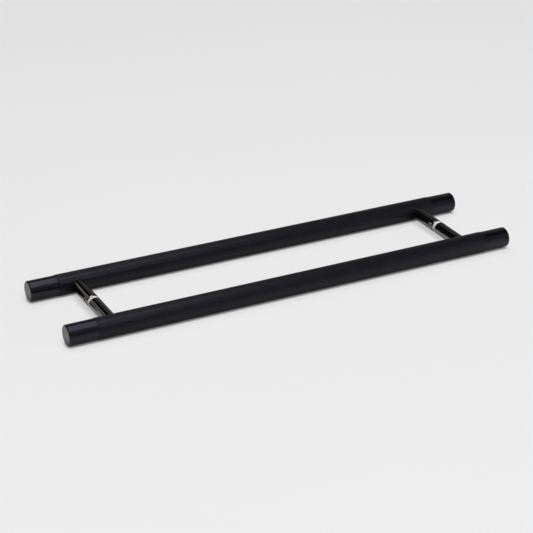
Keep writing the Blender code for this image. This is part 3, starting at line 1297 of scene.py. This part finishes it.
@dataclass
class Post:
    """A polished post, flat at the door and hollowed to the round of the bar at its other end."""

    sizes: PullSizes
    handle: Handle
    side: Side
    chamfer: float = 0.0005
    edge_rounding: float = 0.00012
    saddle_rounding: float = 0.00018
    saddle_support: float = 0.001
    stud_in_post: float = 0.0080
    front_bore_depth: float = 0.0130
    rear_bore_depth: float = 0.0150
    saddle_rings: int = 8
    ring_spacing: float = 0.00035
    dense_length: float = 0.0090
    segments: int = 144

    @property
    def length(self) -> float:
        """Distance from the post's door end to the bar's axis."""
        return self.sizes.stand_off - self.sizes.door_end

    @property
    def crown(self) -> float:
        """Height of the saddle's lowest line above the door end."""
        return self.length - self.sizes.saddle_radius

    def saddle(self, radius: float, height: float, angle: float) -> float:
        """Lift the bar end of the post to the hollow that fits the bar.

        Args:
            radius: Radius of the point.
            height: Height of the point on a post that is cut off flat.
            angle: Angle of the point round the post, from the bar's direction.

        Returns:
            The height on the hollowed post.
        """
        if height < self.crown - 2 * self.saddle_rounding:
            return height
        hollow = self.sizes.saddle_radius
        return height + hollow - math.sqrt(hollow**2 - (radius * math.sin(angle)) ** 2)

    def outline(self) -> list[Point]:
        """Draw the post's outline, with its bar end cut off flat.

        Returns:
            Points from the stud's hole over the saddle and the side to the bore at the door.
        """
        sizes = self.sizes
        radius = sizes.post_radius
        stud_hole = sizes.post_stud_radius + sizes.thread_gap
        hole_bottom = self.crown - self.stud_in_post - sizes.hole_past_stud
        if self.handle is Handle.FRONT:
            bore, bore_depth = sizes.door_stud_radius + sizes.thread_gap, self.front_bore_depth
        else:
            bore, bore_depth = sizes.door_stud_radius + sizes.stud_clearance, self.rear_bore_depth
        corners = [
            Corner(0.0, hole_bottom - sizes.drill_tip(stud_hole)),
            Corner(stud_hole, hole_bottom),
            Corner(stud_hole, self.crown),
        ]
        for ring in range(1, self.saddle_rings):
            across = stud_hole + (radius - stud_hole) * ring / self.saddle_rings
            corners.append(Corner(across, self.crown))
        corners.append(Corner(radius, self.crown, self.saddle_rounding))
        corners.append(Corner(radius, self.crown - self.saddle_support))
        for ring in range(int(self.dense_length / self.ring_spacing), 1, -1):
            corners.append(Corner(radius, self.chamfer + ring * self.ring_spacing))
        corners += [
            Corner(radius, self.chamfer, self.edge_rounding),
            Corner(radius - self.chamfer, 0.0, self.edge_rounding),
            Corner(bore + self.chamfer, 0.0, self.edge_rounding),
            Corner(bore, self.chamfer),
            Corner(bore, bore_depth),
            Corner(0.0, bore_depth + sizes.drill_tip(bore)),
        ]
        return softened(corners)

    def mesh(self, cutters: Sequence[bpy.types.Mesh]) -> bpy.types.Mesh:
        """Build the post.

        Args:
            cutters: Bodies of cross holes, at their place in the pull.

        Returns:
            The post at its place.
        """
        mesh = turned("turned_post", self.outline(), self.segments, bend=self.saddle)
        outwards = Matrix.Rotation(-self.handle.value * math.pi / 2, 4, "X")
        door_end = self.sizes.post_axis(self.side, self.handle.value * self.sizes.door_end)
        mesh.transform(Matrix.Translation(door_end) @ outwards)
        return smoothed(carved(mesh, cutters)) if cutters else mesh

    def dress(self, finish: Finish, cutters: Sequence[bpy.types.Mesh] = ()) -> bpy.types.Object:
        """Show the post in its finish, with its cross holes cut."""
        label = corner_label(self.handle, self.side)
        return present(f"polished_post_{label}", self.mesh(cutters), f"post_{label}", finish, self.sizes)


@dataclass
class PostStud:
    """The short threaded rod that holds a post to its bar."""

    sizes: PullSizes
    handle: Handle
    side: Side
    thread: Thread = Thread(pitch=0.0008, depth=0.00049)
    in_post: float = 0.0080
    in_spigot: float = 0.0080
    chamfer: float = 0.0006

    def dress(self, pattern: ThreadPattern, finish: Finish) -> bpy.types.Object:
        """Build the stud at its place and show it.

        Args:
            pattern: The tree that makes threads.
            finish: Its finish.

        Returns:
            The piece.
        """
        sizes = self.sizes
        radius = sizes.post_stud_radius
        length = self.in_post + sizes.saddle_radius - sizes.spigot_radius + self.in_spigot
        flat = radius - self.chamfer
        mesh = self.thread.rod(pattern, "post_stud", radius, length, (flat, flat))
        towards_door = Vector((0.0, -self.handle.value, 0.0))
        start = sizes.bar_centre(self.handle) + towards_door * (sizes.spigot_radius - self.in_spigot)
        start.x = self.side.value * sizes.half_spacing
        mesh.transform(pointing(start, towards_door))
        label = corner_label(self.handle, self.side)
        return present(f"threaded_post_stud_{label}", mesh, f"post_stud_{label}", finish, sizes)


@dataclass
class DoorStud:
    """The threaded rod through the door, which joins the two posts of one side."""

    sizes: PullSizes
    side: Side
    thread: Thread = Thread(pitch=0.0010, depth=0.00061)
    in_front_post: float = 0.0120
    in_rear_post: float = 0.0140
    chamfer: float = 0.0006

    def dress(self, pattern: ThreadPattern, finish: Finish) -> bpy.types.Object:
        """Build the stud at its place and show it.

        Args:
            pattern: The tree that makes threads.
            finish: Its finish.

        Returns:
            The piece.
        """
        sizes = self.sizes
        length = self.in_front_post + 2 * sizes.door_end + self.in_rear_post
        flat = sizes.door_stud_radius - self.chamfer
        mesh = self.thread.rod(pattern, "door_stud", sizes.door_stud_radius, length, (flat, flat))
        start = sizes.post_axis(self.side, -sizes.door_end - self.in_front_post)
        mesh.transform(pointing(start, Vector((0.0, 1.0, 0.0))))
        label = self.side.name.lower()
        return present(f"threaded_door_stud_{label}", mesh, f"door_stud_{label}", finish, sizes)


@dataclass
class GrubScrew:
    """The set screw in the side of a rear post, which grips the door stud."""

    sizes: PullSizes
    side: Side
    thread: Thread = Thread(pitch=0.0007, depth=0.00043, columns=40)
    radius: float = 0.0020
    from_post_end: float = 0.0050
    above_level: float = math.radians(15.0)
    recess: float = 0.0004
    chamfer: float = 0.0004
    point_radius: float = 0.0010
    socket_across_flats: float = 0.0020
    socket_depth: float = 0.0014
    socket_point: float = 0.0004
    countersink: float = 0.0003
    hole_segments: int = 64

    @property
    def direction(self) -> Vector:
        """Direction that the screw's socket faces."""
        return Vector((-math.cos(self.above_level), 0.0, math.sin(self.above_level)))

    @property
    def centre(self) -> Vector:
        """Point on the post's axis that the screw aims at."""
        return self.sizes.post_axis(self.side, self.sizes.door_end + self.from_post_end)

    def hole(self) -> bpy.types.Mesh:
        """Shape the tapped and countersunk hole in the post.

        Returns:
            The hole's body, at its place in the pull.
        """
        post = self.sizes.post_radius
        hole = self.radius + self.sizes.thread_gap
        mouth = math.sqrt(post**2 - hole**2)
        flare = post - mouth + self.radius
        outline = [
            (0.0, mouth + flare),
            (hole + self.countersink + flare, mouth + flare),
            (hole, mouth - self.countersink),
            (hole, 0.0),
            (0.0, 0.0),
        ]
        mesh = turned("grub_hole", outline, self.hole_segments)
        mesh.transform(pointing(self.centre, self.direction))
        return mesh

    def socket(self, mouth: float) -> bpy.types.Mesh:
        """Body of the hexagonal key socket.

        Args:
            mouth: Height of the screw's socket end.

        Returns:
            The body, in the screw's own frame.
        """
        corner = self.socket_across_flats / 2 / math.cos(math.pi / HEX_SIDES)
        outline = [
            (0.0, mouth + self.radius),
            (corner, mouth + self.radius),
            (corner, mouth - self.socket_depth),
            (0.0, mouth - self.socket_depth - self.socket_point),
        ]
        return turned("hex_socket", outline, HEX_SIDES)

    def dress(self, pattern: ThreadPattern, finish: Finish) -> bpy.types.Object:
        """Build the screw at its place and show it.

        Args:
            pattern: The tree that makes threads.
            finish: Its finish.

        Returns:
            The piece.
        """
        sizes = self.sizes
        seat = sizes.door_stud_radius + sizes.seat_gap
        length = sizes.post_radius - self.recess - seat
        ends = (self.point_radius, self.radius - self.chamfer)
        mesh = self.thread.rod(pattern, "grub_screw", self.radius, length, ends)
        mesh = smoothed(carved(mesh, [self.socket(length)]))
        mesh.transform(pointing(self.centre + self.direction * seat, self.direction))
        label = self.side.name.lower()
        return present(f"socket_grub_screw_{label}", mesh, f"grub_screw_{label}", finish, sizes)


@dataclass
class Washer:
    """A white washer between a post and the door's face."""

    sizes: PullSizes
    handle: Handle
    side: Side
    radius: float = 0.0064
    thickness: float = 0.0019
    post_rounding: float = 0.0006
    door_rounding: float = 0.0001
    segments: int = 112

    def dress(self, finish: Finish) -> bpy.types.Object:
        """Build the washer at its place and show it.

        Args:
            finish: Its finish.

        Returns:
            The piece.
        """
        sizes = self.sizes
        inner = sizes.door_stud_radius + sizes.stud_clearance
        corners = [
            Corner(inner, self.thickness, self.door_rounding),
            Corner(self.radius, self.thickness, self.post_rounding),
            Corner(self.radius, 0.0, self.door_rounding),
            Corner(inner, 0.0, self.door_rounding),
        ]
        mesh = turned("moulded_washer", softened(corners, closed=True), self.segments, closed=True)
        outwards = Vector((0.0, self.handle.value, 0.0))
        face = sizes.post_axis(self.side, self.handle.value * sizes.seat_gap / 2)
        mesh.transform(pointing(face, outwards))
        label = corner_label(self.handle, self.side)
        return present(f"moulded_washer_{label}", mesh, f"washer_{label}", finish, sizes)


@dataclass
class DoorPull:
    """The whole set: two handles, and the fixings that join them through the door."""

    sizes: PullSizes

    def build(self) -> None:
        """Build and dress every piece in order."""
        knurl = KnurlPattern()
        thread = ThreadPattern()
        steel, nickel, chrome = ZincSteel(), NickelSteel(), DarkChrome()
        screws = {side: GrubScrew(self.sizes, side) for side in Side}
        for handle in Handle:
            KnurledGrip(self.sizes, handle).dress(knurl, KnurledBlack())
            for side in Side:
                EndCap(self.sizes, handle, side).dress(SatinBlack())
                holes = [screws[side].hole()] if handle is Handle.REAR else []
                Post(self.sizes, handle, side).dress(chrome, holes)
                PostStud(self.sizes, handle, side).dress(thread, steel)
                Washer(self.sizes, handle, side).dress(WhiteNylon())
        for side in Side:
            DoorStud(self.sizes, side).dress(thread, steel)
            screws[side].dress(thread, nickel)


# Studio


@dataclass(frozen=True)
class StudioCamera:
    """The camera at the photograph's place: a long lens, above and to the left of the pull."""

    lens: float = 111.82
    sensor: float = 36.0
    azimuth: float = math.radians(-27.5438)
    elevation: float = math.radians(25.7222)
    roll: float = math.radians(0.3713)
    target: Place = (-0.011278, -0.003674, 0.0109)
    distance: float = 1.70177
    sight: float = 100.0

    def place(self) -> None:
        """Create the camera and make it the scene's."""
        level = math.cos(self.elevation)
        left, out = math.sin(self.azimuth) * level, math.cos(self.azimuth) * level
        back = Vector((left, -out, math.sin(self.elevation)))
        flat_right = (-back).cross(Vector((0.0, 0.0, 1.0))).normalized()
        flat_up = back.cross(flat_right)
        right = flat_right * math.cos(self.roll) + flat_up * math.sin(self.roll)
        up = flat_up * math.cos(self.roll) - flat_right * math.sin(self.roll)
        data = bpy.data.cameras.new("photo_camera")
        data.lens = self.lens
        data.sensor_width = self.sensor
        data.clip_end = self.sight
        camera = bpy.data.objects.new("photo_camera", data)
        turn = Matrix((right, up, back)).transposed().to_4x4()
        camera.matrix_world = Matrix.Translation(Vector(self.target) + back * self.distance) @ turn
        bpy.context.scene.collection.objects.link(camera)
        bpy.context.scene.camera = camera


@dataclass(frozen=True)
class Softbox:
    """A soft rectangular lamp, given by its centre, what it faces and how bright it looks."""

    name: str
    centre: Place
    width: float
    height: float
    radiance: float
    colour: Colour = WHITE
    aim: Place = (0.0, 0.0, 0.0)

    @classmethod
    def around(
        cls,
        name: str,
        azimuth: float,
        elevation: float,
        distance: float,
        width: float,
        height: float,
        radiance: float,
        colour: Colour = WHITE,
    ) -> "Softbox":
        """Lamp on a stand somewhere round the pull.

        Args:
            name: Name of the lamp.
            azimuth: Direction over the floor in degrees, from +X towards +Y.
            elevation: Degrees above the floor.
            distance: Metres from the pull's middle.
            width: Width of the lamp.
            height: Height of the lamp.
            radiance: How bright it looks, where 1 is a white surface.
            colour: Colour of its light.

        Returns:
            The lamp, which faces the pull.
        """
        turn, tilt = math.radians(azimuth), math.radians(elevation)
        level = distance * math.cos(tilt)
        centre = (level * math.cos(turn), level * math.sin(turn), distance * math.sin(tilt))
        return cls(name, centre, width, height, radiance, colour)

    @classmethod
    def overhead(cls, name: str, x: Span, y: Span, height: float, radiance: float) -> "Softbox":
        """Lamp that hangs level over the floor.

        Args:
            name: Name of the lamp.
            x: Where it starts and ends along X.
            y: Where it starts and ends along Y.
            height: Height over the floor.
            radiance: How bright it looks, where 1 is a white surface.

        Returns:
            The lamp, which faces down.
        """
        across, along = sum(x) / 2, sum(y) / 2
        below = (across, along - DOWN_TILT, 0.0)
        return cls(name, (across, along, height), x[1] - x[0], y[1] - y[0], radiance, aim=below)

    def place(self) -> None:
        """Create the lamp."""
        data = bpy.data.lights.new(self.name, "AREA")
        data.shape = "RECTANGLE"
        data.size = self.width
        data.size_y = self.height
        data.color = self.colour
        data.energy = self.radiance * math.pi * self.width * self.height
        centre = Vector(self.centre)
        lamp = bpy.data.objects.new(self.name, data)
        lamp.matrix_world = pointing(centre, centre - Vector(self.aim))
        bpy.context.scene.collection.objects.link(lamp)


@dataclass
class Studio:
    """Plain pale floor, soft lamps and surroundings that look pale but give little light."""

    sizes: PullSizes
    floor_radius: float = 12.0
    floor_segments: int = 96
    surroundings: float = 0.01
    lamps: tuple[Softbox, ...] = (
        Softbox.overhead("key_softbox", x=(-1.4, 0.2), y=(-2.3, -0.5), height=2.5, radiance=6.3),
        Softbox.overhead("rear_softbox", x=(-0.6, 0.2), y=(0.5, 1.5), height=2.5, radiance=4.3),
        Softbox.overhead("right_strip", x=(0.2, 0.7), y=(-1.5, 1.5), height=2.5, radiance=2.8),
        Softbox.overhead("far_right_softbox", x=(2.4, 3.2), y=(-2.6, -1.4), height=2.5, radiance=1.2),
        Softbox.around("far_high_panel", 112.5, 22.0, 8.0, 1.6, 1.5, 0.72, WARM),
        Softbox.around("far_middle_panel", 119.0, 13.0, 8.0, 1.3, 1.4, 0.25, WARM),
        Softbox.around("far_floor_panel", 123.0, 5.5, 8.0, 1.3, 1.1, 1.04, WARM),
        Softbox.around("front_card_288", 288.0, 34.0, 2.5, 1.3, 1.3, 0.27),
        Softbox.around("front_card_324", 324.0, 34.0, 2.5, 1.3, 1.3, 0.11),
        Softbox.around("rear_card_36", 36.0, 34.0, 2.5, 1.3, 1.3, 0.32),
        Softbox.around("rear_card_72", 72.0, 34.0, 2.5, 1.3, 1.3, 0.11),
        Softbox.around("low_front_card_270", 270.0, 10.0, 2.5, 1.2, 0.75, 0.34),
        Softbox.around("low_front_card_300", 300.0, 10.0, 2.5, 1.2, 0.75, 0.36),
        Softbox.around("low_right_softbox", 330.0, 10.0, 2.5, 1.2, 0.75, 3.8),
        Softbox.around("low_rear_card_30", 30.0, 10.0, 2.5, 1.2, 0.75, 0.26),
        Softbox.around("low_rear_card_60", 60.0, 10.0, 2.5, 1.2, 0.75, 0.26),
        Softbox.around("low_rear_card_90", 90.0, 10.0, 2.5, 1.2, 0.75, 0.44),
    )

    def lay_floor(self) -> None:
        """Make the floor, which isn't part of the pull."""
        shape = bmesh.new()
        bmesh.ops.create_circle(shape, cap_ends=True, radius=self.floor_radius, segments=self.floor_segments)
        mesh = bpy.data.meshes.new("floor")
        shape.to_mesh(mesh)
        shape.free()
        mesh.materials.append(FloorBoard().material(self.sizes))
        floor = bpy.data.objects.new("floor", mesh)
        bpy.context.scene.collection.objects.link(floor)

    def light_surroundings(self) -> None:
        """Give the world its dim, even light, and the camera a pale backdrop."""
        world = bpy.data.worlds.new("surroundings")
        world.use_nodes = True
        book = NodeBook(world.node_tree)
        path = book.node("ShaderNodeLightPath")
        gain = BACKDROP - self.surroundings
        strength = book.maths("MULTIPLY_ADD", path.outputs["Is Camera Ray"], gain, self.surroundings)
        book.fill(world.node_tree.nodes["Background"], Color=(*WHITE, 1.0), Strength=strength)
        bpy.context.scene.world = world

    def build(self) -> None:
        """Build the studio and set how the picture is shown."""
        bpy.context.scene.view_settings.view_transform = "Standard"
        self.lay_floor()
        self.light_surroundings()
        for lamp in self.lamps:
            lamp.place()
        StudioCamera().place()
        log.info("studio: floor, %d lamps and the camera", len(self.lamps))


def main() -> None:
    """Build the pull, then the studio round it."""
    logging.basicConfig(level=logging.INFO, format="%(name)s: %(message)s")
    sizes = PullSizes()
    DoorPull(sizes).build()
    Studio(sizes).build()


if __name__ == "__main__":
    main()
